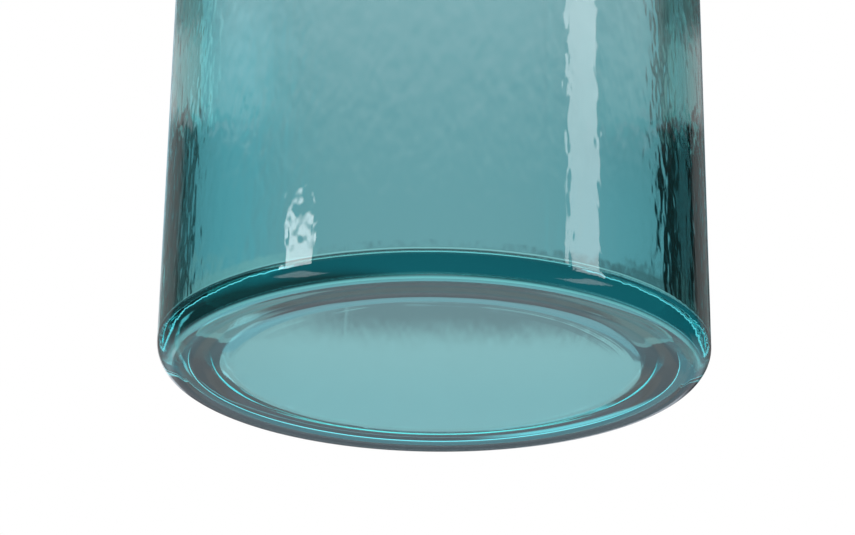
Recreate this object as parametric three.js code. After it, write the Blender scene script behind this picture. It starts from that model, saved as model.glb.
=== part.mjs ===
// Decorative glass bottle: one blown body of tinted glass with a ringed base and a thick heel,
// closed by a tapered cork that is pinned and glued into a turned wooden cap.
// Millimetres, +Z up, with the origin at the middle of the surface that the bottle stands on.

import * as THREE from "three";

// Driving dimensions of the body
const BODY_DIAMETER = 150;
const BODY_WALL = 4.4;
const SHOULDER_START = 166; // height where the straight wall ends
const SHOULDER_RADIUS = 46;

// Driving dimensions of the base, from the outside in
const HEEL_RADIUS = 6;
const BEARING_WIDTH = 1.2; // flat ring that touches the table
const RING_RECESS = 0.3; // how far the flat ring inside it is raised
const RING_WIDTH = 6.6;
const RECESS_STEP = 0.25;
const LEDGE_WIDTH = 2.2;
const LEDGE_STEP = 0.15;
const STEP_SLOPE = 0.9; // width that each step takes up

// Driving dimensions of the inside floor: a bank along the wall that slopes down to a thin, flat middle
const BANK_HEIGHT = 7; // glass from the table up to the top of the bank
const BANK_WIDTH = 9.4;
const BANK_DROP = 2.7;
const INNER_HEEL_RADIUS = 1.2;

// Driving dimensions of the neck and lip
const NECK_DIAMETER = 46;
const NECK_WALL = 5.5;
const NECK_FILLET = 22; // radius of the hollow curve from shoulder to neck
const INNER_NECK_FILLET = 27;
const NECK_LENGTH = 64;
const LIP_OVERHANG = 6; // how far the lip stands out from the neck
const LIP_HEIGHT = 11;
const LIP_EDGE = 3.5;
const MOUTH_EDGE = 1.5;

// Driving dimensions of the stopper
const CORK_INSERT = 34; // length of cork inside the neck
const CORK_TAPER = 1; // radius that bore and cork gain over that length
const CORK_CHAMFER = 1.5;
const CAP_OVERHANG = 1; // how far the cap stands out past the lip
const CAP_SIDE = 11;
const CAP_CROWN = 9;
const CAP_EDGE = 2;
const CAP_GROOVE = 1.1; // radius of the groove turned round the cap's side
const SOCKET_DEPTH = 5;
const DOWEL_DIAMETER = 9;
const DOWEL_IN_CAP = 8;
const DOWEL_IN_CORK = 14;
const DOWEL_CHAMFER = 0.8;

// Gap between pieces that are glued, seated or slide in each other
const CLEARANCE = 0.3;

// Fineness of the round stretches
const TURN_SEGMENTS = 48;
const ARC_STEP = Math.PI / 10;
const LEAST_ARC_STEPS = 3;
const SAME_POINT = 1e-4;

const QUARTER = Math.PI / 2;

// Sizes that follow from the driving dimensions
const bodyRadius = BODY_DIAMETER / 2;
const neckRadius = NECK_DIAMETER / 2;
const boreRadius = neckRadius - NECK_WALL;
const lipRadius = neckRadius + LIP_OVERHANG;
const shoulderOutside = blendToNeck(bodyRadius, SHOULDER_RADIUS, neckRadius, NECK_FILLET);
const shoulderInside = blendToNeck(
  bodyRadius - BODY_WALL,
  SHOULDER_RADIUS - BODY_WALL,
  boreRadius,
  INNER_NECK_FILLET,
);
const lipBottom = shoulderOutside.neck.y + NECK_LENGTH;
const glassTop = lipBottom + LIP_HEIGHT;
const mouthRadius = boreRadius + CORK_TAPER;
const corkHeadRadius = mouthRadius - CLEARANCE;
const dowelRadius = DOWEL_DIAMETER / 2;

/** Two arcs that lead from the straight wall over the shoulder into the neck, tangent to both and to each other. */
function blendToNeck(wallRadius, shoulderRadius, neckSideRadius, filletRadius) {
  const shoulder = new THREE.Vector2(wallRadius - shoulderRadius, SHOULDER_START);
  const across = neckSideRadius + filletRadius - shoulder.x;
  const rise = Math.sqrt((shoulderRadius + filletRadius) ** 2 - across ** 2);
  return {
    shoulder,
    shoulderRadius,
    neck: new THREE.Vector2(neckSideRadius + filletRadius, SHOULDER_START + rise),
    filletRadius,
    angle: Math.atan2(rise, across),
  };
}

/** The outline's points: the ends of its straight runs, and even steps along its round ones. */
function outlinePoints(outline) {
  const points = [];
  for (const curve of outline.curves) {
    const sweep = curve.isEllipseCurve ? Math.abs(curve.aEndAngle - curve.aStartAngle) : 0;
    const steps = sweep ? Math.max(LEAST_ARC_STEPS, Math.ceil(sweep / ARC_STEP)) : 1;
    for (const point of curve.getPoints(steps)) {
      const last = points.at(-1);
      if (!last || last.distanceTo(point) > SAME_POINT) points.push(point);
    }
  }
  for (const end of [points[0], points.at(-1)]) if (Math.abs(end.x) < SAME_POINT) end.x = 0;
  return points;
}

/** A named mesh turned about +Z from an outline of (radius, height) that runs up the outside. */
function turned(name, outline, material) {
  const geometry = new THREE.LatheGeometry(outlinePoints(outline), TURN_SEGMENTS);
  geometry.rotateX(QUARTER);
  const mesh = new THREE.Mesh(geometry, material);
  mesh.name = name;
  return mesh;
}

/** Adds the underside of the base: disc, ledge, step, flat ring, bearing ring and heel. */
function addBase(outline) {
  const bearingOutside = bodyRadius - HEEL_RADIUS;
  const bearingInside = bearingOutside - BEARING_WIDTH;
  const ringInside = bearingInside - STEP_SLOPE - RING_WIDTH;
  const ledgeInside = ringInside - STEP_SLOPE - LEDGE_WIDTH;
  const ledgeHeight = RING_RECESS + RECESS_STEP;
  const discHeight = ledgeHeight + LEDGE_STEP;
  outline.moveTo(0, discHeight);
  outline.lineTo(ledgeInside - STEP_SLOPE, discHeight);
  outline.lineTo(ledgeInside, ledgeHeight);
  outline.lineTo(ringInside - STEP_SLOPE, ledgeHeight);
  outline.lineTo(ringInside, RING_RECESS);
  outline.lineTo(bearingInside - STEP_SLOPE, RING_RECESS);
  outline.lineTo(bearingInside, 0);
  outline.lineTo(bearingOutside, 0);
  outline.absarc(bearingOutside, HEEL_RADIUS, HEEL_RADIUS, -QUARTER, 0, false);
}

/** Adds the outside of the wall, shoulder, neck and lip, up to the flat top of the lip. */
function addOutside(outline) {
  const { shoulder, shoulderRadius, neck, filletRadius, angle } = shoulderOutside;
  outline.lineTo(bodyRadius, SHOULDER_START);
  outline.absarc(shoulder.x, shoulder.y, shoulderRadius, 0, angle, false);
  outline.absarc(neck.x, neck.y, filletRadius, angle + Math.PI, Math.PI, true);
  outline.lineTo(neckRadius, lipBottom);
  outline.absarc(lipRadius - LIP_EDGE, lipBottom + LIP_EDGE, LIP_EDGE, -QUARTER, 0, false);
  outline.absarc(lipRadius - LIP_EDGE, glassTop - LIP_EDGE, LIP_EDGE, 0, QUARTER, false);
}

/** Adds the inside from the mouth down the tapered bore, the shoulder and the wall to the floor. */
function addInside(outline) {
  const { shoulder, shoulderRadius, neck, filletRadius, angle } = shoulderInside;
  const innerRadius = bodyRadius - BODY_WALL;
  const bankTop = new THREE.Vector2(innerRadius - INNER_HEEL_RADIUS, BANK_HEIGHT);
  const floorEdge = new THREE.Vector2(bankTop.x - BANK_WIDTH, bankTop.y - BANK_DROP);
  outline.absarc(mouthRadius + MOUTH_EDGE, glassTop - MOUTH_EDGE, MOUTH_EDGE, QUARTER, Math.PI, false);
  outline.lineTo(boreRadius, glassTop - CORK_INSERT);
  outline.absarc(neck.x, neck.y, filletRadius, Math.PI, angle + Math.PI, false);
  outline.absarc(shoulder.x, shoulder.y, shoulderRadius, angle, 0, true);
  outline.absarc(bankTop.x, bankTop.y + INNER_HEEL_RADIUS, INNER_HEEL_RADIUS, 0, -QUARTER, true);
  outline.lineTo(floorEdge.x, floorEdge.y);
  outline.lineTo(0, floorEdge.y);
}

/** The bottle itself, blown in one piece: base, wall, shoulder, neck and lip. */
function glassBottle() {
  const outline = new THREE.Path();
  addBase(outline);
  addOutside(outline);
  addInside(outline);
  const glass = new THREE.MeshStandardMaterial({
    color: 0x5fa3ad,
    roughness: 0.05,
    metalness: 0,
    transparent: true,
    opacity: 0.45,
  });
  return turned("glass_bottle", outline, glass);
}

// The stopper's pieces are drawn from the top of the lip, which is height 0 in their group.
const capBottom = CLEARANCE;
const socketTop = capBottom + SOCKET_DEPTH;
const corkTop = socketTop - CLEARANCE;
const dowelHoleTop = socketTop + DOWEL_IN_CAP;
const dowelHoleBottom = corkTop - DOWEL_IN_CORK;

/** The cork: tapered to the bore, with a chamfered foot and a blind hole for the dowel in its head. */
function corkPlug() {
  const footRadius = boreRadius - CLEARANCE;
  const holeRadius = dowelRadius + CLEARANCE;
  const outline = new THREE.Path();
  outline.moveTo(0, -CORK_INSERT);
  outline.lineTo(footRadius - CORK_CHAMFER, -CORK_INSERT);
  outline.lineTo(footRadius, CORK_CHAMFER - CORK_INSERT);
  outline.lineTo(corkHeadRadius, 0);
  outline.lineTo(corkHeadRadius, corkTop);
  outline.lineTo(holeRadius, corkTop);
  outline.lineTo(holeRadius, dowelHoleBottom);
  outline.lineTo(0, dowelHoleBottom);
  const cork = new THREE.MeshStandardMaterial({ color: 0xb98a5a, roughness: 0.9, metalness: 0 });
  return turned("cork_plug", outline, cork);
}

/** The cap: a turned disc with a grooved side and a crowned top, bored for the cork's head and the dowel. */
function woodenCap() {
  const capRadius = lipRadius + CAP_OVERHANG;
  const sideTop = capBottom + CAP_SIDE;
  const groove = (capBottom + CAP_EDGE + sideTop) / 2;
  const socketRadius = corkHeadRadius + CLEARANCE;
  const holeRadius = dowelRadius + CLEARANCE;
  const outline = new THREE.Path();
  outline.moveTo(0, dowelHoleTop);
  outline.lineTo(holeRadius, dowelHoleTop);
  outline.lineTo(holeRadius, socketTop);
  outline.lineTo(socketRadius, socketTop);
  outline.lineTo(socketRadius, capBottom);
  outline.absarc(capRadius - CAP_EDGE, capBottom + CAP_EDGE, CAP_EDGE, -QUARTER, 0, false);
  outline.absarc(capRadius, groove, CAP_GROOVE, -QUARTER, QUARTER, true);
  outline.lineTo(capRadius, sideTop);
  outline.absellipse(0, sideTop, capRadius, CAP_CROWN, 0, QUARTER, false, 0);
  const wood = new THREE.MeshStandardMaterial({ color: 0x9c6b42, roughness: 0.55, metalness: 0 });
  return turned("wooden_cap", outline, wood);
}

/** The dowel that pins the cork to the cap, hidden in both. */
function stopperDowel() {
  const top = dowelHoleTop - CLEARANCE;
  const bottom = dowelHoleBottom + CLEARANCE;
  const outline = new THREE.Path();
  outline.moveTo(0, bottom);
  outline.lineTo(dowelRadius - DOWEL_CHAMFER, bottom);
  outline.lineTo(dowelRadius, bottom + DOWEL_CHAMFER);
  outline.lineTo(dowelRadius, top - DOWEL_CHAMFER);
  outline.lineTo(dowelRadius - DOWEL_CHAMFER, top);
  outline.lineTo(0, top);
  const beech = new THREE.MeshStandardMaterial({ color: 0xd2b48a, roughness: 0.7, metalness: 0 });
  return turned("stopper_dowel", outline, beech);
}

const stopper = new THREE.Group();
stopper.position.z = glassTop;
stopper.add(corkPlug(), woodenCap(), stopperDowel());

const bottle = new THREE.Group();
bottle.add(glassBottle(), stopper);

export default bottle;
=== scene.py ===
"""Looks of a decorative glass bottle: a body of rippled teal glass and a cork with a turned cap."""

import logging
import math
from collections.abc import Callable
from dataclasses import dataclass, field
from enum import Enum

import bpy
import numpy as np
from mathutils import Matrix, Vector


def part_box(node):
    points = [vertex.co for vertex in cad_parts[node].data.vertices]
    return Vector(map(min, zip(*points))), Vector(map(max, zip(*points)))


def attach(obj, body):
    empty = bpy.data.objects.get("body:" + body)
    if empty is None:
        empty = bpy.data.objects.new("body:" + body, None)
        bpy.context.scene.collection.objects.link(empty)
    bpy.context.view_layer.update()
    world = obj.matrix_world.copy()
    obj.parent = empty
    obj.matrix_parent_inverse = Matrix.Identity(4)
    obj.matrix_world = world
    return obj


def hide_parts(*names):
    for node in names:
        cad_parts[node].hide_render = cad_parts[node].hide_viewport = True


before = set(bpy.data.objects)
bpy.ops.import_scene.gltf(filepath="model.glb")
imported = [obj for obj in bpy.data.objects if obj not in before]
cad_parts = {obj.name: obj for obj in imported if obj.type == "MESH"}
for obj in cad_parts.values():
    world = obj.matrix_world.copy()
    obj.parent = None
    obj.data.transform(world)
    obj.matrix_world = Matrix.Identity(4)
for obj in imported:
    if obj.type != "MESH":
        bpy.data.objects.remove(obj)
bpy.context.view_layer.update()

log = logging.getLogger("bottle")

MM = 0.001
QUARTER = math.pi / 2
BOTTLE_BODY = "bottle"
STOPPER_BODY = "stopper"
INSIDE_ATTRIBUTE = "inside"
FINEST_TURN = math.pi / 24  # the widest angle between neighbouring points of an arc
SAME_POINT = 1e-7  # points of an outline that are closer than this are one

Number = float | int
Point = tuple[float, float]
Colour = tuple[float, float, float, float]


class Value:
    """A number on its way through a node tree. Python operators on it add Math nodes."""

    def __init__(self, graph: "Graph", socket: bpy.types.NodeSocket) -> None:
        """Wraps a socket.

        Args:
            graph: the tree that the socket is in.
            socket: an output that gives a number.
        """
        self.graph = graph
        self.socket = socket

    def math(self, operation: str, *others: "Value | Number", flipped: bool = False) -> "Value":
        """Adds a Math node.

        Args:
            operation: the node's operation.
            others: its other inputs.
            flipped: puts this value second instead of first.

        Returns:
            The node's result.
        """
        inputs = [self, *others]
        if flipped:
            inputs.reverse()
        node = self.graph.add("ShaderNodeMath", {"operation": operation}, dict(enumerate(inputs)))
        return Value(self.graph, node.outputs[0])

    def __add__(self, other: "Value | Number") -> "Value":
        """This value plus the other."""
        return self.math("ADD", other)

    __radd__ = __add__

    def __sub__(self, other: "Value | Number") -> "Value":
        """This value less the other."""
        return self.math("SUBTRACT", other)

    def __rsub__(self, other: "Value | Number") -> "Value":
        """The other less this value."""
        return self.math("SUBTRACT", other, flipped=True)

    def __mul__(self, other: "Value | Number") -> "Value":
        """This value times the other."""
        return self.math("MULTIPLY", other)

    __rmul__ = __mul__

    def __truediv__(self, other: "Value | Number") -> "Value":
        """This value over the other."""
        return self.math("DIVIDE", other)

    def __pow__(self, other: "Value | Number") -> "Value":
        """This value to the power of the other."""
        return self.math("POWER", other)

    def __abs__(self) -> "Value":
        """This value without its sign."""
        return self.math("ABSOLUTE")

    def rise(self, start: Number, end: Number) -> "Value":
        """A smooth step.

        Args:
            start: where it is 0.
            end: where it is 1, which may lie below start.

        Returns:
            The step, from 0 to 1.
        """
        settings = {"interpolation_type": "SMOOTHSTEP"}
        inputs = {"Value": self, "From Min": min(start, end), "From Max": max(start, end)}
        node = self.graph.add("ShaderNodeMapRange", settings, inputs)
        step = Value(self.graph, node.outputs["Result"])
        return step if start < end else 1 - step


class Graph:
    """A node tree that is filled from Python expressions."""

    def __init__(self, tree: bpy.types.NodeTree) -> None:
        """Starts with an emptied tree.

        Args:
            tree: the tree to fill.
        """
        self.tree = tree
        tree.nodes.clear()

    def add(
        self, kind: str, settings: dict | None = None, inputs: dict | None = None
    ) -> bpy.types.Node:
        """Makes any node.

        Args:
            kind: the node's type.
            settings: its properties, set first.
            inputs: values or links of its sockets, by name or number.

        Returns:
            The new node.
        """
        node = self.tree.nodes.new(kind)
        for name, value in (settings or {}).items():
            setattr(node, name, value)
        for name, value in (inputs or {}).items():
            self._feed(node.inputs[name], value)
        return node

    def _feed(self, socket: bpy.types.NodeSocket, value: object) -> None:
        """Links a value or socket to an input, or sets a plain number or colour on it.

        Args:
            socket: the input.
            value: what feeds it.
        """
        source = value.socket if isinstance(value, Value) else value
        if isinstance(source, bpy.types.NodeSocket):
            self.tree.links.new(source, socket)
        else:
            socket.default_value = source

    def value(self, node: bpy.types.Node, output: str | int = 0) -> Value:
        """One output of a node as a value for expressions."""
        return Value(self, node.outputs[output])

    def joined(self, kind: str, *inputs: object) -> bpy.types.NodeSocket:
        """The first output of a node whose inputs are given in their order."""
        return self.add(kind, None, dict(enumerate(inputs))).outputs[0]

    def blend(self, factor: Value | Number, first: object, second: object) -> bpy.types.NodeSocket:
        """Mixes two colours.

        Args:
            factor: 0 for the first, 1 for the second.
            first: a colour or a colour socket.
            second: a colour or a colour socket.

        Returns:
            The mixed colour's socket.
        """
        sockets = {0: factor, 6: first, 7: second}  # the colour sockets follow those of other kinds
        node = self.add("ShaderNodeMix", {"data_type": "RGBA", "clamp_factor": True}, sockets)
        return node.outputs[2]

    def noise(self, place: bpy.types.NodeSocket, size: float, detail: float) -> Value:
        """Noise of a given grain.

        Args:
            place: the coordinates to read.
            size: the grain in metres.
            detail: how many finer layers are added.

        Returns:
            The noise, from 0 to 1.
        """
        inputs = {"Vector": place, "Scale": 1 / size, "Detail": detail, "Roughness": 0.5}
        return self.value(self.add("ShaderNodeTexNoise", None, inputs))

    def cells(self, place: bpy.types.NodeSocket, size: float) -> bpy.types.Node:
        """Cells of a given size. The node gives the distance from each cell's middle and a colour."""
        return self.add("ShaderNodeTexVoronoi", None, {"Vector": place, "Scale": 1 / size})

    def vector(self, operation: str, first: object, second: object | None = None) -> bpy.types.Node:
        """A Vector Math node on one or two vectors."""
        inputs = {0: first} if second is None else {0: first, 1: second}
        return self.add("ShaderNodeVectorMath", {"operation": operation}, inputs)

    def scaled(self, place: bpy.types.NodeSocket, factors: tuple) -> bpy.types.NodeSocket:
        """The coordinates, each times its factor."""
        return self.vector("MULTIPLY", place, factors).outputs[0]

    def bump(self, height: Value) -> bpy.types.NodeSocket:
        """The normal of a surface raised by a height in metres."""
        inputs = {"Strength": 1.0, "Distance": 1.0, "Height": height}
        return self.add("ShaderNodeBump", None, inputs).outputs[0]

    def surface(self, inputs: dict, volume: bpy.types.NodeSocket | None = None) -> None:
        """Ends the tree in one shader.

        Args:
            inputs: values and links of its Principled shader.
            volume: what fills the piece, if anything.
        """
        ends = {"Surface": self.add("ShaderNodeBsdfPrincipled", None, inputs).outputs[0]}
        if volume is not None:
            ends["Volume"] = volume
        self.add("ShaderNodeOutputMaterial", None, ends)


def new_material(name: str) -> tuple[bpy.types.Material, Graph]:
    """Makes an empty node material.

    Args:
        name: the material's name.

    Returns:
        The material and its graph.
    """
    material = bpy.data.materials.new(name)
    material.use_nodes = True
    return material, Graph(material.node_tree)


@dataclass(frozen=True)
class GlassFinish:
    """Clear teal glass with the fine ripple of a mould-blown surface."""

    refraction: float = 1.51
    roughness: float = 0.0
    absorbed: tuple[float, float, float] = (0.94, 0.107, 0.104)  # red, green and blue, of the density
    density: float = 122.0
    ripple_size: float = 2.7 * MM
    ripple_depth: float = 0.072 * MM
    ripple_stretch: float = 2.5  # how much longer the ripples are upright than across
    ripple_behind: float = 0.3  # how deep the ripples at the back are, next to the front
    ripple_change: tuple[float, float] = (40 * MM, -10 * MM)  # where they deepen, from back to front
    wave_size: float = 14 * MM
    wave_depth: float = 0.06 * MM
    ring_size: float = 1.6 * MM
    ring_depth: float = 0.02 * MM
    ring_inside: float = 48 * MM
    ring_outside: float = 69 * MM
    ring_fade: tuple[float, float] = (4 * MM, 1 * MM)  # width of the fade inside and outside
    ring_top: tuple[float, float] = (2 * MM, 1 * MM)  # heights between which the rings fade out
    ring_drift: float = 25 * MM  # length over which a ring wanders
    ring_wander: float = 1.5  # how far it wanders, in ring sizes
    ring_break: float = 18 * MM  # length of its broken stretches
    ring_gaps: tuple[float, float] = (0.3, 0.6)  # a ring is broken below the first and whole above
    outer_start: tuple[float, float] = (1.2 * MM, 6 * MM)  # heights over which the outside turns uneven
    inner_start: tuple[float, float] = (18 * MM, 36 * MM)  # and the inside

    def material(self) -> bpy.types.Material:
        """Makes the finish.

        Returns:
            One material for both faces of the wall, with the tint inside the glass.
        """
        material, graph = new_material("teal_glass")
        place = graph.add("ShaderNodeTexCoord").outputs["Object"]
        drawn = graph.scaled(place, (1, 1, 1 / self.ripple_stretch))
        fine = graph.noise(drawn, self.ripple_size, 1.0)
        slow = graph.noise(drawn, self.wave_size, 1.0)
        mark = graph.add("ShaderNodeAttribute", {"attribute_name": INSIDE_ATTRIBUTE})
        inside = graph.value(mark, "Fac")
        parts = graph.add("ShaderNodeSeparateXYZ", None, {"Vector": place})
        above = graph.value(parts, "Z")
        upright = above.rise(*self.outer_start)
        outer = 1 - inside
        front = graph.value(parts, "Y").rise(*self.ripple_change)
        lively = front * (1 - self.ripple_behind) + self.ripple_behind
        wavy = outer * upright + inside * above.rise(*self.inner_start)
        height = fine * self.ripple_depth * outer * upright * lively + slow * self.wave_depth * wavy
        height = height + self._rings(graph, place) * outer * above.rise(*self.ring_top)
        tint = (*(1 - share for share in self.absorbed), 1)
        inner = graph.add("ShaderNodeVolumeAbsorption", None, {"Color": tint, "Density": self.density})
        shader = {
            "Base Color": (1, 1, 1, 1),
            "Roughness": self.roughness,
            "IOR": self.refraction,
            "Transmission Weight": 1.0,
            "Normal": graph.bump(height),
        }
        graph.surface(shader, inner.outputs[0])
        return material

    def _rings(self, graph: Graph, place: bpy.types.NodeSocket) -> Value:
        """Fine broken rings round the underside, left by the mould.

        Args:
            graph: the material's graph.
            place: the coordinates of the surface.

        Returns:
            Their height in metres.
        """
        flat = graph.scaled(place, (1, 1, 0))
        radius = graph.value(graph.vector("LENGTH", flat), "Value")
        drift = graph.noise(flat, self.ring_drift, 0.0) * self.ring_size * self.ring_wander
        line = graph.add("ShaderNodeCombineXYZ", None, {"X": radius + drift}).outputs[0]
        broken = graph.noise(flat, self.ring_break, 1.0).rise(*self.ring_gaps)
        inner = radius.rise(self.ring_inside, self.ring_inside + self.ring_fade[0])
        outer = radius.rise(self.ring_outside, self.ring_outside - self.ring_fade[1])
        return graph.noise(line, self.ring_size, 1.0) * broken * inner * outer * self.ring_depth


@dataclass(frozen=True)
class CorkFinish:
    """Pressed cork: small granules of mixed browns with dark seams and pores."""

    granule: float = 2.4 * MM
    pore_spacing: float = 3.6 * MM
    granule_depth: float = 0.10 * MM
    pore_depth: float = 0.25 * MM
    bend_size: float = 2 * MM  # grain of the noise that bends the granules
    bend: float = 0.7  # how far it bends them, in granules
    seam_reach: tuple[float, float] = (0.45, 0.8)  # from a granule's middle, in granules
    pore_reach: tuple[float, float] = (0.26, 0.12)  # from a pore's middle, in spacings
    fibre: float = 0.35 * MM
    dust_share: float = 0.5
    seam_share: float = 0.55
    pore_share: float = 0.85
    roughness: float = 0.82
    roughness_spread: float = 0.15
    pale: Colour = (0.58, 0.37, 0.19, 1)
    brown: Colour = (0.40, 0.22, 0.10, 1)
    dust: Colour = (0.68, 0.48, 0.28, 1)
    seam_colour: Colour = (0.22, 0.11, 0.05, 1)
    pore_colour: Colour = (0.09, 0.045, 0.02, 1)

    def material(self) -> bpy.types.Material:
        """Makes the finish.

        Returns:
            The material.
        """
        material, graph = new_material("pressed_cork")
        place = graph.add("ShaderNodeTexCoord").outputs["Object"]
        bending = {"Vector": place, "Scale": 1 / self.bend_size, "Detail": 2.0}
        bent = graph.add("ShaderNodeTexNoise", None, bending)
        wander = graph.scaled(bent.outputs["Color"], (self.granule * self.bend,) * 3)
        shaken = graph.vector("ADD", place, wander).outputs[0]
        granules = graph.cells(shaken, self.granule)
        parted = graph.add("ShaderNodeSeparateColor", None, {"Color": granules.outputs["Color"]})
        shade = graph.value(parted)
        seam = graph.value(granules, "Distance").rise(*self.seam_reach)
        holes = graph.cells(shaken, self.pore_spacing)
        pores = graph.value(holes, "Distance").rise(*self.pore_reach)
        fine = graph.noise(place, self.fibre, 3.0)
        colour = graph.blend(shade, self.pale, self.brown)
        colour = graph.blend(fine * self.dust_share, colour, self.dust)
        colour = graph.blend(seam * self.seam_share, colour, self.seam_colour)
        colour = graph.blend(pores * self.pore_share, colour, self.pore_colour)
        height = (fine - seam) * self.granule_depth - pores * self.pore_depth
        rough = self.roughness + fine * self.roughness_spread
        graph.surface({"Base Color": colour, "Roughness": rough, "Normal": graph.bump(height)})
        return material


@dataclass(frozen=True)
class WoodFinish:
    """Planed or turned wood whose grain runs along X, with growth rings, fibres and pores."""

    name: str
    early: Colour
    late: Colour
    pore_colour: Colour
    ring_width: float = 3.4 * MM
    pith_below: float = 44 * MM  # how far under the bottle's top the middle of the trunk lies
    pith_before: float = 13 * MM  # how far before the bottle's axis it lies
    ring_edge: tuple[float, float] = (0.25, 0.95)  # where late wood starts and is full, in rings
    ring_end: tuple[float, float] = (1.0, 0.96)  # where it ends
    ring_share: float = 0.75
    ring_relief: float = 0.015 * MM
    drift_size: float = 16 * MM
    drift: float = 7 * MM  # how far the growth rings wander
    drift_stretch: float = 0.3  # the drift's scale along the grain
    cloud_size: float = 20 * MM
    cloud_start: float = 0.4
    cloud_share: float = 0.5
    fibre: float = 0.45 * MM
    fibre_stretch: float = 0.07  # the fibres' scale along the grain
    fibre_share: float = 0.5
    fibre_relief: float = 0.03 * MM
    pore: float = 0.7  # size of the pores, in fibres
    pore_reach: tuple[float, float] = (0.66, 0.72)
    pore_share: float = 0.7
    pore_depth: float = 0.06 * MM
    roughness: float = 0.42
    fibre_roughness: float = 0.25
    pore_roughness: float = 0.2
    coat: float = 0.25
    coat_roughness: float = 0.3
    tool_step: float = 0.9 * MM  # spacing of the lathe tool's marks
    tool_depth: float = 0.012 * MM
    tool_lean: float = 0.6  # how the marks go on from the top down the side

    def material(self, top: float) -> bpy.types.Material:
        """Makes the finish.

        Args:
            top: height of the bottle's top, which the growth rings are drawn from.

        Returns:
            The material.
        """
        material, graph = new_material(self.name)
        place = graph.add("ShaderNodeTexCoord").outputs["Object"]
        long = graph.scaled(place, (self.fibre_stretch, 1, 1))
        parts = graph.add("ShaderNodeSeparateXYZ", None, {"Vector": place})
        x, y, z = (graph.value(parts, axis) for axis in "XYZ")
        from_pith = (y + self.pith_before) ** 2 + (z - (top - self.pith_below)) ** 2
        drawn = graph.scaled(place, (self.drift_stretch, 1, 1))
        drift = graph.noise(drawn, self.drift_size, 2.0) * self.drift
        turn = (from_pith**0.5 + drift) / self.ring_width
        year = turn.math("FRACT")
        ring = year.rise(*self.ring_edge) * year.rise(*self.ring_end)
        fibres = graph.noise(long, self.fibre, 3.0)
        pores = graph.noise(long, self.fibre * self.pore, 1.0).rise(*self.pore_reach)
        cloud = graph.noise(place, self.cloud_size, 2.0)
        uneven = fibres - 0.5
        dark = ring * self.ring_share + uneven * self.fibre_share
        colour = graph.blend(dark, self.early, self.late)
        colour = graph.blend((cloud - self.cloud_start) * self.cloud_share, colour, self.late)
        colour = graph.blend(pores * self.pore_share, colour, self.pore_colour)
        radius = (x**2 + y**2) ** 0.5
        path = (radius + z * self.tool_lean) * (2 * math.pi / self.tool_step)
        height = path.math("SINE") * self.tool_depth + fibres * self.fibre_relief
        height = height - pores * self.pore_depth + ring * self.ring_relief
        rough = self.roughness + uneven * self.fibre_roughness + pores * self.pore_roughness
        shader = {
            "Base Color": colour,
            "Roughness": rough,
            "Coat Weight": self.coat,
            "Coat Roughness": self.coat_roughness,
            "Normal": graph.bump(height),
        }
        graph.surface(shader)
        return material


class Outline:
    """A line of (radius, height) points that a piece is turned from. Its inside stretch is marked."""

    def __init__(self, step: float) -> None:
        """Starts an empty outline.

        Args:
            step: the widest spacing of its points, in metres.
        """
        self.step = step
        self.points: list[Point] = []
        self.marks: list[float] = []
        self.mark = 0.0

    def line_to(self, radius: float, height: float) -> "Outline":
        """Runs straight to a point, or starts there.

        Args:
            radius: the point's radius.
            height: its height.

        Returns:
            This outline.
        """
        if not self.points:
            return self._put([(radius, height)])
        start = np.array(self.points[-1])
        end = np.array((radius, height))
        count = max(1, math.ceil(float(np.linalg.norm(end - start)) / self.step))
        return self._put([tuple(start + (end - start) * i / count) for i in range(1, count + 1)])

    def arc(
        self, centre: Point, radius: float, start: float, end: float, upright: float | None = None
    ) -> "Outline":
        """Runs round an arc.

        Args:
            centre: the arc's centre.
            radius: its radius.
            start: its first angle, from the outward direction towards up.
            end: its last angle.
            upright: its upright radius, where it is an oval's.

        Returns:
            This outline.
        """
        rise = radius if upright is None else upright
        turn = abs(end - start)
        count = max(math.ceil(turn * radius / self.step), math.ceil(turn / FINEST_TURN))
        angles = np.linspace(start, end, count + 1)
        run = [(centre[0] + radius * math.cos(a), centre[1] + rise * math.sin(a)) for a in angles]
        return self._put(run)

    def round_corner(self, corner: Point, after: Point, radius: float) -> "Outline":
        """Runs straight towards a corner and round it.

        Args:
            corner: where the two straight lines meet.
            after: a point further along the second line.
            radius: radius of the rounding.

        Returns:
            This outline.
        """
        at = Vector(corner)
        back = (Vector(self.points[-1]) - at).normalized()
        ahead = (Vector(after) - at).normalized()
        half = back.angle(ahead) / 2
        first = at + back * radius / math.tan(half)
        last = at + ahead * radius / math.tan(half)
        centre = at + (back + ahead).normalized() * radius / math.sin(half)
        start = math.atan2(*(first - centre).yx)
        turn = (last - centre).angle_signed(first - centre)
        return self.line_to(*first).arc(tuple(centre), radius, start, start + turn)

    def _put(self, points: list[Point]) -> "Outline":
        """Appends points that differ from the last one.

        Args:
            points: the points in order.

        Returns:
            This outline.
        """
        for point in points:
            if self.points and math.dist(self.points[-1], point) < SAME_POINT:
                continue
            self.points.append((max(0.0, point[0]), point[1]))
            self.marks.append(self.mark)
        return self


Shift = Callable[[np.ndarray, np.ndarray, np.ndarray, np.ndarray], tuple[np.ndarray, np.ndarray]]


def even_angles(count: int) -> np.ndarray:
    """The angles of evenly spaced columns."""
    return np.arange(count) * 2 * math.pi / count


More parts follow.
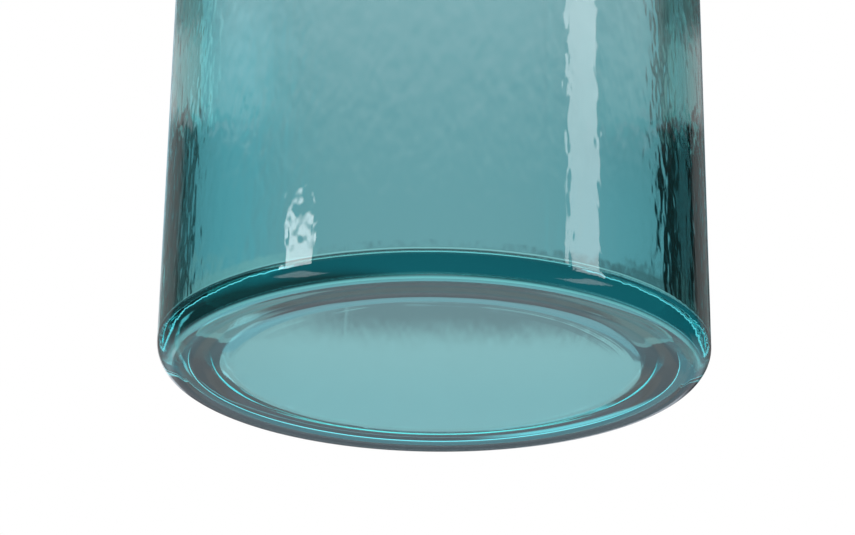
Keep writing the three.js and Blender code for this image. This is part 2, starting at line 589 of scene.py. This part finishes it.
def turned(
    name: str, outline: Outline, angles: np.ndarray, shift: Shift | None = None
) -> bpy.types.Object:
    """Turns an outline that starts and ends on the axis into a closed, smooth mesh.

    Args:
        name: the object's name.
        outline: the outline, up the outside.
        angles: the angles of its columns, rising, without the last full turn.
        shift: gives what to add to radius and height, from grids of angle, radius, height and mark.

    Returns:
        The new object.
    """
    points = np.array(outline.points)
    marks = np.array(outline.marks)
    rings = points[1:-1]
    grid_angle, grid_radius = np.meshgrid(angles, rings[:, 0])
    grid_height = np.repeat(rings[:, 1:], len(angles), axis=1)
    grid_mark = np.repeat(marks[1:-1, None], len(angles), axis=1)
    poles = np.array([[0, 0, points[0, 1]], [0, 0, points[-1, 1]]])
    if shift is not None:
        more_radius, more_height = shift(grid_angle, grid_radius, grid_height, grid_mark)
        grid_radius = grid_radius + more_radius
        grid_height = grid_height + more_height
        poles[:, 2] += more_height[[0, -1]].mean(axis=1)
    corners = np.stack(
        [grid_radius * np.sin(grid_angle), -grid_radius * np.cos(grid_angle), grid_height], axis=-1
    ).reshape(-1, 3)
    first = len(corners)
    columns = np.arange(len(angles))
    beside = np.roll(columns, -1)
    faces: list[tuple[int, ...]] = []
    for ring in range(len(rings) - 1):
        low, high = ring * len(angles), (ring + 1) * len(angles)
        faces += zip(low + columns, low + beside, high + beside, high + columns)
    last = (len(rings) - 1) * len(angles)
    faces += zip(np.full_like(columns, first), beside, columns)
    faces += zip(np.full_like(columns, first + 1), last + columns, last + beside)
    mesh = bpy.data.meshes.new(name)
    mesh.from_pydata(np.concatenate([corners, poles]).tolist(), [], [tuple(map(int, f)) for f in faces])
    mesh.polygons.foreach_set("use_smooth", np.ones(len(mesh.polygons), bool))
    attribute = mesh.attributes.new(INSIDE_ATTRIBUTE, "FLOAT", "POINT")
    values = np.concatenate([grid_mark.ravel(), marks[[0, -1]]]).astype(np.float32)
    attribute.data.foreach_set("value", values)
    mesh.update()
    piece = bpy.data.objects.new(name, mesh)
    bpy.context.scene.collection.objects.link(piece)
    return piece


def mount(
    piece: bpy.types.Object, body: str, node: str, material: bpy.types.Material
) -> None:
    """Dresses a piece and seats it on its body in place of a node.

    Args:
        piece: the finished piece.
        body: the body that it moves with.
        node: the node that it stands for.
        material: its material.
    """
    piece.data.materials.append(material)
    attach(piece, body)
    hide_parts(node)


@dataclass
class GlassBody:
    """The bottle itself, from the underside of its base to its lip, inside and out."""

    node: str = "glass_bottle"
    wall: float = 4.4 * MM
    shoulder_start: float = 166 * MM
    shoulder_radius: float = 46 * MM
    heel_radius: float = 6 * MM
    bearing_width: float = 1.2 * MM
    ring_recess: float = 0.3 * MM
    ring_width: float = 6.6 * MM
    recess_step: float = 0.25 * MM
    ledge_width: float = 2.2 * MM
    ledge_step: float = 0.15 * MM
    step_slope: float = 0.9 * MM
    inner_heel_height: float = 7 * MM
    inner_heel_radius: float = 1.2 * MM
    bank_slope: float = math.radians(16)
    floor_radius: float = 59 * MM
    floor_edge: float = 20 * MM
    neck_radius: float = 23 * MM
    neck_wall: float = 5.5 * MM
    neck_fillet: float = 22 * MM
    inner_neck_fillet: float = 27 * MM
    lip_overhang: float = 6 * MM
    lip_height: float = 11 * MM
    lip_edge: float = 3.5 * MM
    mouth_edge: float = 1.5 * MM
    cork_insert: float = 34 * MM
    cork_taper: float = 1 * MM
    columns: int = 256
    spacing: float = 2.8 * MM
    seam_angle: float = math.radians(22)
    seam_height: float = 0.05 * MM
    seam_width: float = 0.8 * MM
    seam_reach: float = 3.0  # how far its closer columns go to each side, in seam widths
    seam_columns: int = 13
    finish: GlassFinish = field(default_factory=GlassFinish)

    def __post_init__(self) -> None:
        """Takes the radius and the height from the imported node."""
        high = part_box(self.node)[1]
        self.radius = high.x
        self.top = high.z
        self.bore = self.neck_radius - self.neck_wall

    def build(self) -> list[bpy.types.Object]:
        """Makes the glass and seats it.

        Returns:
            The one finished piece.
        """
        outline = Outline(self.spacing)
        self._add_base(outline)
        self._add_outside(outline)
        self._add_inside(outline)
        piece = turned("rippled_glass_body", outline, self._angles(), self._unevenness)
        mount(piece, BOTTLE_BODY, self.node, self.finish.material())
        return [piece]

    def _blend(
        self, wall: float, shoulder: float, neck: float, fillet: float
    ) -> tuple[Point, Point, float]:
        """Two arcs from the wall over the shoulder into the neck.

        Args:
            wall: radius of the wall's face.
            shoulder: radius of the shoulder's arc.
            neck: radius of the neck's face.
            fillet: radius of the hollow arc.

        Returns:
            The centres of the two arcs and the angle where they meet.
        """
        low = (wall - shoulder, self.shoulder_start)
        across = neck + fillet - low[0]
        rise = math.sqrt((shoulder + fillet) ** 2 - across**2)
        return low, (neck + fillet, self.shoulder_start + rise), math.atan2(rise, across)

    def _add_base(self, outline: Outline) -> None:
        """Adds the underside: disc, ledge, step, flat ring, bearing ring and heel.

        Args:
            outline: the outline so far.
        """
        bearing_outside = self.radius - self.heel_radius
        bearing_inside = bearing_outside - self.bearing_width
        ring_inside = bearing_inside - self.step_slope - self.ring_width
        ledge_inside = ring_inside - self.step_slope - self.ledge_width
        ledge_height = self.ring_recess + self.recess_step
        disc_height = ledge_height + self.ledge_step
        outline.line_to(0, disc_height).line_to(ledge_inside - self.step_slope, disc_height)
        outline.line_to(ledge_inside, ledge_height)
        outline.line_to(ring_inside - self.step_slope, ledge_height)
        outline.line_to(ring_inside, self.ring_recess)
        outline.line_to(bearing_inside - self.step_slope, self.ring_recess)
        outline.line_to(bearing_inside, 0)
        outline.line_to(bearing_outside, 0)
        outline.arc((bearing_outside, self.heel_radius), self.heel_radius, -QUARTER, 0)

    def _add_outside(self, outline: Outline) -> None:
        """Adds the outside of the wall, shoulder, neck and lip.

        Args:
            outline: the outline so far.
        """
        shoulder, neck, fillet = self.shoulder_radius, self.neck_radius, self.neck_fillet
        low, high, angle = self._blend(self.radius, shoulder, neck, fillet)
        lip_radius = neck + self.lip_overhang
        lip_bottom = self.top - self.lip_height
        outline.line_to(self.radius, self.shoulder_start)
        outline.arc(low, shoulder, 0, angle)
        outline.arc(high, fillet, angle + math.pi, math.pi)
        outline.line_to(neck, lip_bottom)
        edge = lip_radius - self.lip_edge
        outline.line_to(edge, lip_bottom)
        outline.arc((edge, lip_bottom + self.lip_edge), self.lip_edge, -QUARTER, 0)
        outline.arc((edge, self.top - self.lip_edge), self.lip_edge, 0, QUARTER)

    def _add_inside(self, outline: Outline) -> None:
        """Adds the mouth, the bore, the inside of the shoulder and wall, and the floor.

        Args:
            outline: the outline so far.
        """
        inner = self.radius - self.wall
        mouth = self.bore + self.cork_taper + self.mouth_edge
        shoulder, fillet = self.shoulder_radius - self.wall, self.inner_neck_fillet
        low, high, angle = self._blend(inner, shoulder, self.bore, fillet)
        outline.line_to(mouth, self.top)
        outline.mark = 1.0
        outline.arc((mouth, self.top - self.mouth_edge), self.mouth_edge, QUARTER, math.pi)
        outline.line_to(self.bore, self.top - self.cork_insert)
        outline.arc(high, fillet, math.pi, angle + math.pi)
        outline.arc(low, shoulder, angle, 0)
        heel = (inner - self.inner_heel_radius, self.inner_heel_height + self.inner_heel_radius)
        outline.line_to(inner, heel[1])
        outline.arc(heel, self.inner_heel_radius, 0, self.bank_slope - QUARTER)
        start = outline.points[-1]
        floor = start[1] - (start[0] - self.floor_radius) * math.tan(self.bank_slope)
        outline.round_corner((self.floor_radius, floor), (0, floor), self.floor_edge)
        outline.line_to(0, floor)

    def _angles(self) -> np.ndarray:
        """Even columns, with closer ones along the two mould seams.

        Returns:
            Their angles, rising.
        """
        even = even_angles(self.columns)
        reach = np.linspace(-self.seam_reach, self.seam_reach, self.seam_columns)
        near = reach * self.seam_width / self.radius
        seams = [self.seam_angle, self.seam_angle + math.pi]
        gap = abs(near[0]) + math.pi / self.columns
        kept = [a for a in even if min(abs(a - s) for s in seams) > gap]
        return np.sort(np.concatenate([kept, *(near + s for s in seams)]))

    def _unevenness(
        self, angle: np.ndarray, radius: np.ndarray, height: np.ndarray, inside: np.ndarray
    ) -> tuple[np.ndarray, np.ndarray]:
        """The marks of the making: two upright mould seams on the outside.

        Args:
            angle: angle of each point.
            radius: radius of each point.
            height: height of each point.
            inside: 1 on the inside of the glass.

        Returns:
            The radius and the height to add.
        """
        low, high = self.heel_radius, self.top - self.lip_height
        shown = (1 - inside) * np.clip((height - low) / self.heel_radius, 0, 1) * (height < high)
        ridge = np.zeros_like(angle)
        for seam in (self.seam_angle, self.seam_angle + math.pi):
            across = (angle - seam) * radius / self.seam_width
            ridge += self.seam_height * np.exp(-(across**2)) * shown
        return ridge, np.zeros_like(height)


@dataclass
class Stopper:
    """What closes the neck: a tapered cork in a turned wooden cap, and the dowel that pins them."""

    cork_node: str = "cork_plug"
    cap_node: str = "wooden_cap"
    dowel_node: str = "stopper_dowel"
    cork_taper: float = 1 * MM
    cork_chamfer: float = 1.5 * MM
    cork_spacing: float = 0.6 * MM
    cork_columns: int = 180
    pits: int = 220
    pit_size: tuple[float, float] = (0.5 * MM, 1.5 * MM)
    pit_depth: tuple[float, float] = (0.15 * MM, 0.5 * MM)
    dowel_hole: float = 4.8 * MM
    dowel_hole_depth: float = 14 * MM
    cap_side: float = 11 * MM
    cap_edge: float = 2 * MM
    cap_groove: float = 1.1 * MM
    socket_depth: float = 5 * MM
    socket_gap: float = 0.3 * MM
    cap_hole_depth: float = 8 * MM
    cap_columns: int = 128
    cap_spacing: float = 0.9 * MM
    dowel_chamfer: float = 0.8 * MM
    flutes: int = 16
    flute_depth: float = 0.3 * MM
    flute_power: int = 3  # the higher, the narrower a flute
    seed: int = 11
    cork_finish: CorkFinish = field(default_factory=CorkFinish)
    cap_finish: WoodFinish = WoodFinish(
        "oiled_turned_wood", (0.36, 0.19, 0.085, 1), (0.17, 0.075, 0.03, 1), (0.06, 0.025, 0.012, 1)
    )
    dowel_finish: WoodFinish = WoodFinish(
        "plain_beech",
        (0.62, 0.44, 0.27, 1),
        (0.52, 0.33, 0.18, 1),
        (0.34, 0.19, 0.10, 1),
        ring_width=2.2 * MM,
        roughness=0.6,
        coat=0.0,
    )

    def build(self) -> list[bpy.types.Object]:
        """Makes the three pieces and seats them."""
        return [self._cork(), self._cap(), self._dowel()]

    def _cork(self) -> bpy.types.Object:
        """The cork: tapered, chamfered at its foot, bored for the dowel, with small pits all over.

        Returns:
            The seated piece.
        """
        low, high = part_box(self.cork_node)
        head = high.x
        foot = head - self.cork_taper
        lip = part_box(self.cap_node)[0].z - self.socket_gap
        hole_bottom = high.z - self.dowel_hole_depth
        outline = Outline(self.cork_spacing)
        outline.line_to(0, low.z).line_to(foot - self.cork_chamfer, low.z)
        outline.line_to(foot, low.z + self.cork_chamfer).line_to(head, lip).line_to(head, high.z)
        outline.line_to(self.dowel_hole, high.z).line_to(self.dowel_hole, hole_bottom)
        outline.line_to(0, hole_bottom)
        piece = turned("tapered_cork", outline, even_angles(self.cork_columns), self._pitted)
        mount(piece, STOPPER_BODY, self.cork_node, self.cork_finish.material())
        return piece

    def _pitted(
        self, angle: np.ndarray, radius: np.ndarray, height: np.ndarray, inside: np.ndarray
    ) -> tuple[np.ndarray, np.ndarray]:
        """Small pits where grains of cork have broken out, only ever into the cork.

        Args:
            angle: angle of each point.
            radius: radius of each point.
            height: height of each point.
            inside: 1 on the inside of a hollow piece; not used.

        Returns:
            The radius and the height to add.
        """
        draw = np.random.default_rng(self.seed)
        depth = np.zeros_like(radius)
        side = radius > self.dowel_hole + self.cork_chamfer
        for _ in range(self.pits):
            at = draw.uniform(0, 2 * math.pi)
            up = draw.uniform(height.min(), height.max())
            size = draw.uniform(*self.pit_size)
            deep = draw.uniform(*self.pit_depth)
            across = (np.mod(angle - at + math.pi, 2 * math.pi) - math.pi) * radius
            away = (across**2 + (height - up) ** 2) / size**2
            depth = np.maximum(depth, deep * np.exp(-(away**2)))
        return -depth * side, np.zeros_like(height)

    def _cap(self) -> bpy.types.Object:
        """The cap: a grooved disc with a crowned top, bored for the cork's head and the dowel.

        Returns:
            The seated piece.
        """
        low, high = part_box(self.cap_node)
        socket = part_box(self.cork_node)[1].x + self.socket_gap
        socket_top = low.z + self.socket_depth
        hole_top = socket_top + self.cap_hole_depth
        side_top = low.z + self.cap_side
        groove = (low.z + self.cap_edge + side_top) / 2
        outline = Outline(self.cap_spacing)
        outline.line_to(0, hole_top).line_to(self.dowel_hole, hole_top)
        outline.line_to(self.dowel_hole, socket_top).line_to(socket, socket_top).line_to(socket, low.z)
        edge = (high.x - self.cap_edge, low.z + self.cap_edge)
        outline.line_to(edge[0], low.z).arc(edge, self.cap_edge, -QUARTER, 0)
        outline.line_to(high.x, groove - self.cap_groove)
        outline.arc((high.x, groove), self.cap_groove, -QUARTER, -3 * QUARTER)
        outline.line_to(high.x, side_top)
        outline.arc((0, side_top), high.x, 0, QUARTER, high.z - side_top)
        piece = turned("turned_cap", outline, even_angles(self.cap_columns))
        mount(piece, STOPPER_BODY, self.cap_node, self.cap_finish.material(high.z))
        return piece

    def _dowel(self) -> bpy.types.Object:
        """The dowel: a chamfered pin with flutes along it that let the glue out.

        Returns:
            The seated piece.
        """
        low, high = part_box(self.dowel_node)
        narrow = high.x - self.dowel_chamfer
        outline = Outline(self.cap_spacing)
        outline.line_to(0, low.z).line_to(narrow, low.z).line_to(high.x, low.z + self.dowel_chamfer)
        outline.line_to(high.x, high.z - self.dowel_chamfer).line_to(narrow, high.z).line_to(0, high.z)
        piece = turned("fluted_dowel", outline, even_angles(self.cap_columns), self._fluted)
        mount(piece, STOPPER_BODY, self.dowel_node, self.dowel_finish.material(high.z))
        return piece

    def _fluted(
        self, angle: np.ndarray, radius: np.ndarray, height: np.ndarray, inside: np.ndarray
    ) -> tuple[np.ndarray, np.ndarray]:
        """Straight flutes along the dowel's side.

        Args:
            angle: angle of each point.
            radius: radius of each point.
            height: height of each point.
            inside: 1 on the inside of a hollow piece; not used.

        Returns:
            The radius and the height to add.
        """
        deep = (0.5 + 0.5 * np.cos(angle * self.flutes)) ** self.flute_power * self.flute_depth
        return -deep * (radius > self.dowel_hole - self.cork_chamfer), np.zeros_like(height)


class Tone(Enum):
    """The colours of the room's light."""

    NEUTRAL = (1.0, 1.0, 1.0, 1.0)
    COOL = (0.87, 1.0, 1.12, 1.0)
    SKY = (0.0, 0.78, 1.0, 1.0)


class Seen(Enum):
    """How a light of the room shows in the glass."""

    EVERYWHERE = "everywhere"
    MIRRORED = "in the outer face only"
    THROUGH = "through the glass only"


@dataclass(frozen=True)
class Span:
    """A range of elevations with soft ends, in degrees."""

    low: float
    high: float
    low_edge: float
    high_edge: float

    def share(self, elevation: Value) -> Value:
        """How far an elevation lies in the range, from 0 to 1."""
        above = elevation.rise(self.low - self.low_edge, self.low + self.low_edge)
        return above * elevation.rise(self.high + self.high_edge, self.high - self.high_edge)


@dataclass(frozen=True)
class Sector:
    """A range of directions round the bottle with soft ends, in degrees."""

    middle: float  # from straight behind the bottle, towards the right
    half_width: float
    edge: float

    def share(self, azimuth: Value) -> Value:
        """How far a direction lies in the range, from 0 to 1."""
        across = abs((azimuth - self.middle).math("WRAP", 180, -180))
        return across.rise(self.half_width + self.edge, self.half_width - self.edge)


@dataclass(frozen=True)
class SoftLight:
    """A soft-edged panel of light, far from the bottle."""

    strength: float
    span: Span
    sector: Sector | None = None  # none goes all round
    tone: Tone = Tone.NEUTRAL
    seen: Seen = Seen.EVERYWHERE

    def brightness(self, azimuth: Value, elevation: Value, outside: Value) -> Value:
        """The panel's light.

        Args:
            azimuth: direction round the bottle.
            elevation: direction above the horizon.
            outside: 1 for what the outer face mirrors, and 0 for what comes through the glass.

        Returns:
            Its brightness in that direction.
        """
        bright = self.span.share(elevation) * self.strength
        if self.sector is not None:
            bright = bright * self.sector.share(azimuth)
        if self.seen is Seen.MIRRORED:
            return bright * outside
        return bright * (1 - outside) if self.seen is Seen.THROUGH else bright


# Below the horizon: a sweep of paper, with one lighter strip at the left.
SWEEP = Span(-90, -12, 1, 2)
SWEEP_MIDDLE = Sector(0, 30, 12)
PAPER_SWEEP = (
    SoftLight(0.03, SWEEP, Sector(0, 40, 15), Tone.COOL),
    SoftLight(0.13, SWEEP, Sector(14, 22, 5), Tone.SKY),
    SoftLight(0.6, Span(-21, -17, 1, 1), Sector(-18.5, 2.5, 1), Tone.COOL),
    SoftLight(0.8, Span(-90, -24, 1, 2), Sector(0, 32, 12), Tone.COOL, Seen.MIRRORED),
    SoftLight(0.56, Span(-24, -19.2, 2, 1), SWEEP_MIDDLE, seen=Seen.MIRRORED),
    SoftLight(0.43, Span(-19.2, 0, 1, 8), SWEEP_MIDDLE, Tone.COOL, Seen.MIRRORED),
)

# The floor and the walls on the camera's side, which light the glass when it is seen from behind.
REST_OF_ROOM = (
    SoftLight(0.6, Span(-90, -52, 1, 4), seen=Seen.THROUGH),
    SoftLight(0.5, Span(-52, -3, 4, 2), Sector(180, 115, 12), seen=Seen.THROUGH),
    SoftLight(0.18, Span(-3, 60, 2, 10), Sector(180, 75, 12), seen=Seen.THROUGH),
)

# Behind the bottle: a lit screen with a dim line across it, and smaller patches on and under it.
SCREEN = Sector(-2.6, 15.4, 1.2)
BACKDROP = (
    SoftLight(0.2, Span(6, 32, 4, 1), SCREEN, Tone.COOL),
    SoftLight(0.38, Span(11, 20.1, 3, 0.4), SCREEN),
    SoftLight(0.16, Span(21.4, 32, 0.5, 1), SCREEN, Tone.COOL),
    SoftLight(0.035, Span(21.4, 29, 0.5, 0.8), Sector(-1, 6, 4)),
    SoftLight(0.13, Span(21.4, 28, 0.5, 2), Sector(-13, 6, 3), Tone.SKY),
    SoftLight(0.06, Span(21.4, 24, 0.5, 2), Sector(9.5, 4, 2.5), Tone.SKY),
    SoftLight(0.3, Span(20.1, 21.4, 0.4, 0.5), Sector(-10.5, 6.5, 2)),
    SoftLight(0.75, Span(-8, 5, 2, 2.5), Sector(8, 5, 2), Tone.COOL),
    SoftLight(1.3, Span(-12.4, -9.6, 0.8, 0.8), Sector(0, 30, 10), Tone.COOL, Seen.THROUGH),
    SoftLight(0.8, Span(1, 13, 2, 1.5), Sector(-14.5, 2.5, 1), Tone.COOL),
)

# At both sides: a dark wall, a lighter strip over it, the upper wall, and a ceiling over all.
DARK_WALL = Span(-20, 24.85, 1, 0.3)
LEFT_STRIP = Span(24.85, 26.8, 0.3, 0.4)
RIGHT_STRIP = Span(24.85, 26.9, 0.3, 0.4)
LEFT_SIDE = Sector(-60, 45, 2)
RIGHT_SIDE = Sector(60, 45, 2)
SIDES = (
    SoftLight(0.03, DARK_WALL, Sector(-45, 30, 2)),
    SoftLight(0.22, DARK_WALL, Sector(-31, 15, 4), seen=Seen.MIRRORED),
    SoftLight(0.36, LEFT_STRIP, LEFT_SIDE),
    SoftLight(0.27, LEFT_STRIP, Sector(-40, 20, 4), seen=Seen.MIRRORED),
    SoftLight(0.26, Span(26.8, 60, 0.4, 5), LEFT_SIDE),
    SoftLight(0.21, DARK_WALL, Sector(30, 13, 4), seen=Seen.MIRRORED),
    SoftLight(0.28, RIGHT_STRIP, RIGHT_SIDE),
    SoftLight(0.18, RIGHT_STRIP, Sector(33, 13, 4), seen=Seen.MIRRORED),
    SoftLight(0.12, Span(26.9, 60, 0.4, 5), RIGHT_SIDE),
    SoftLight(1.6, Span(60, 90, 8, 1)),
)

# On the camera's side: tall boxes at the right and left, a low one under each, and a pale upper wall.
LOW_BOX = Span(-50, -23, 3, 3)
SOFT_BOXES = (
    SoftLight(4.5, Span(-6, 80, 0.6, 5), Sector(117, 7.3, 0.5), seen=Seen.MIRRORED),
    SoftLight(2.4, LOW_BOX, Sector(108, 6, 1.5), seen=Seen.MIRRORED),
    SoftLight(2.4, LOW_BOX, Sector(-117, 7, 1.5), seen=Seen.MIRRORED),
    SoftLight(8.0, Span(-0.5, 22.6, 0.6, 0.4), Sector(-123.5, 6.5, 0.6), seen=Seen.MIRRORED),
    SoftLight(2.1, Span(26.3, 70, 3.3, 5), Sector(180, 105, 15), seen=Seen.MIRRORED),
    SoftLight(0.5, Span(10, 70, 12, 5), Sector(180, 60, 30), seen=Seen.MIRRORED),
)

ROOM_LIGHTS = PAPER_SWEEP + REST_OF_ROOM + BACKDROP + SIDES + SOFT_BOXES


@dataclass
class Studio:
    """The room: soft light all round, a pale floor that only shows from above, and the camera."""

    lens: float = 104.72  # focal length in millimetres
    sensor: float = 36.0  # width in millimetres
    distance: float = 675 * MM
    elevation: float = -19.15  # degrees above the horizon
    target: tuple[float, float, float] = (-2.06 * MM, 0, 31.2 * MM)
    roll: float = 0.0122  # radians
    floor_size: float = 6.0
    floor_gap: float = 0.2 * MM
    floor_grain: float = 30.0
    floor_roughness: float = 0.9
    floor_colours: tuple[Colour, Colour] = ((0.80, 0.80, 0.79, 1), (0.86, 0.86, 0.85, 1))
    dimmest: float = 0.01  # light from where no panel is
    bounces: int = 32  # in all and through glass
    other_bounces: int = 16  # between mirrors and through clear faces
    lights: tuple[SoftLight, ...] = ROOM_LIGHTS

    def build(self) -> None:
        """Makes the light, the floor and the camera."""
        self._light()
        self._floor()
        self._camera()
        settings = bpy.context.scene
        settings.view_settings.view_transform = "Standard"
        settings.cycles.max_bounces = self.bounces
        settings.cycles.transmission_bounces = self.bounces
        settings.cycles.glossy_bounces = self.other_bounces
        settings.cycles.transparent_max_bounces = self.other_bounces

    def _light(self) -> None:
        """Fills the world: white to the camera, and the room to everything else."""
        world = bpy.data.worlds.new("studio")
        world.use_nodes = True
        bpy.context.scene.world = world
        graph = Graph(world.node_tree)
        direction = graph.add("ShaderNodeTexCoord").outputs["Generated"]
        parts = graph.add("ShaderNodeSeparateXYZ", None, {"Vector": direction})
        x, y, z = (graph.value(parts, axis) for axis in "XYZ")
        azimuth = x.math("ARCTAN2", y) * math.degrees(1)
        elevation = z.math("ARCSINE") * math.degrees(1)
        path = graph.add("ShaderNodeLightPath")
        outside = graph.value(path, "Transmission Depth").math("LESS_THAN", 0.5)
        total: dict[Tone, Value | Number] = {tone: 0.0 for tone in Tone}
        total[Tone.NEUTRAL] = self.dimmest
        for light in self.lights:
            total[light.tone] += light.brightness(azimuth, elevation, outside)
        glows = [graph.joined("ShaderNodeBackground", tone.value, total[tone]) for tone in Tone]
        room = glows[0]
        for glow in glows[1:]:
            room = graph.joined("ShaderNodeAddShader", room, glow)
        white = graph.joined("ShaderNodeBackground", Tone.NEUTRAL.value, 1.0)
        shown = graph.joined("ShaderNodeMixShader", graph.value(path, "Is Camera Ray"), room, white)
        graph.add("ShaderNodeOutputWorld", None, {"Surface": shown})

    def _floor(self) -> None:
        """Lays a pale floor that is seen from above only, because the camera looks up at the base."""
        material, graph = new_material("pale_floor")
        grains = graph.add("ShaderNodeTexNoise", None, {"Scale": self.floor_grain, "Detail": 3.0})
        colour = graph.blend(graph.value(grains), *self.floor_colours)
        inputs = {"Base Color": colour, "Roughness": self.floor_roughness}
        top = graph.add("ShaderNodeBsdfPrincipled", None, inputs)
        under = graph.add("ShaderNodeBsdfTransparent")
        back = graph.add("ShaderNodeNewGeometry").outputs["Backfacing"]
        shown = graph.joined("ShaderNodeMixShader", back, top.outputs[0], under.outputs[0])
        graph.add("ShaderNodeOutputMaterial", None, {"Surface": shown})
        half = self.floor_size / 2
        mesh = bpy.data.meshes.new("floor")
        corners = [(-half, -half, 0), (half, -half, 0), (half, half, 0), (-half, half, 0)]
        mesh.from_pydata(corners, [], [(0, 1, 2, 3)])
        mesh.materials.append(material)
        floor = bpy.data.objects.new("floor", mesh)
        floor.location.z = -self.floor_gap
        floor.visible_glossy = False
        floor.visible_transmission = False
        bpy.context.scene.collection.objects.link(floor)

    def _camera(self) -> None:
        """Sets the camera where the photograph was taken from, below the base."""
        data = bpy.data.cameras.new("camera")
        data.lens = self.lens
        data.sensor_width = self.sensor
        camera = bpy.data.objects.new("camera", data)
        tilt = math.radians(self.elevation)
        place = Vector((0, -self.distance * math.cos(tilt), self.distance * math.sin(tilt)))
        ahead = (Vector(self.target) - place).normalized()
        side = ahead.cross(Vector((0, 0, 1))).normalized()
        up = side.cross(ahead)
        turn_side = math.cos(self.roll) * side + math.sin(self.roll) * up
        turn_up = math.cos(self.roll) * up - math.sin(self.roll) * side
        turn = Matrix((turn_side, turn_up, -ahead)).transposed().to_4x4()
        camera.matrix_world = Matrix.Translation(place) @ turn
        bpy.context.scene.collection.objects.link(camera)
        bpy.context.scene.camera = camera


def main() -> None:
    """Builds the studio and the bottle's pieces in order, and reports each piece."""
    logging.basicConfig(level=logging.INFO, format="%(message)s")
    Studio().build()
    for piece in GlassBody().build() + Stopper().build():
        log.info("%s: %d faces", piece.name, len(piece.data.polygons))


if __name__ == "__main__":
    main()
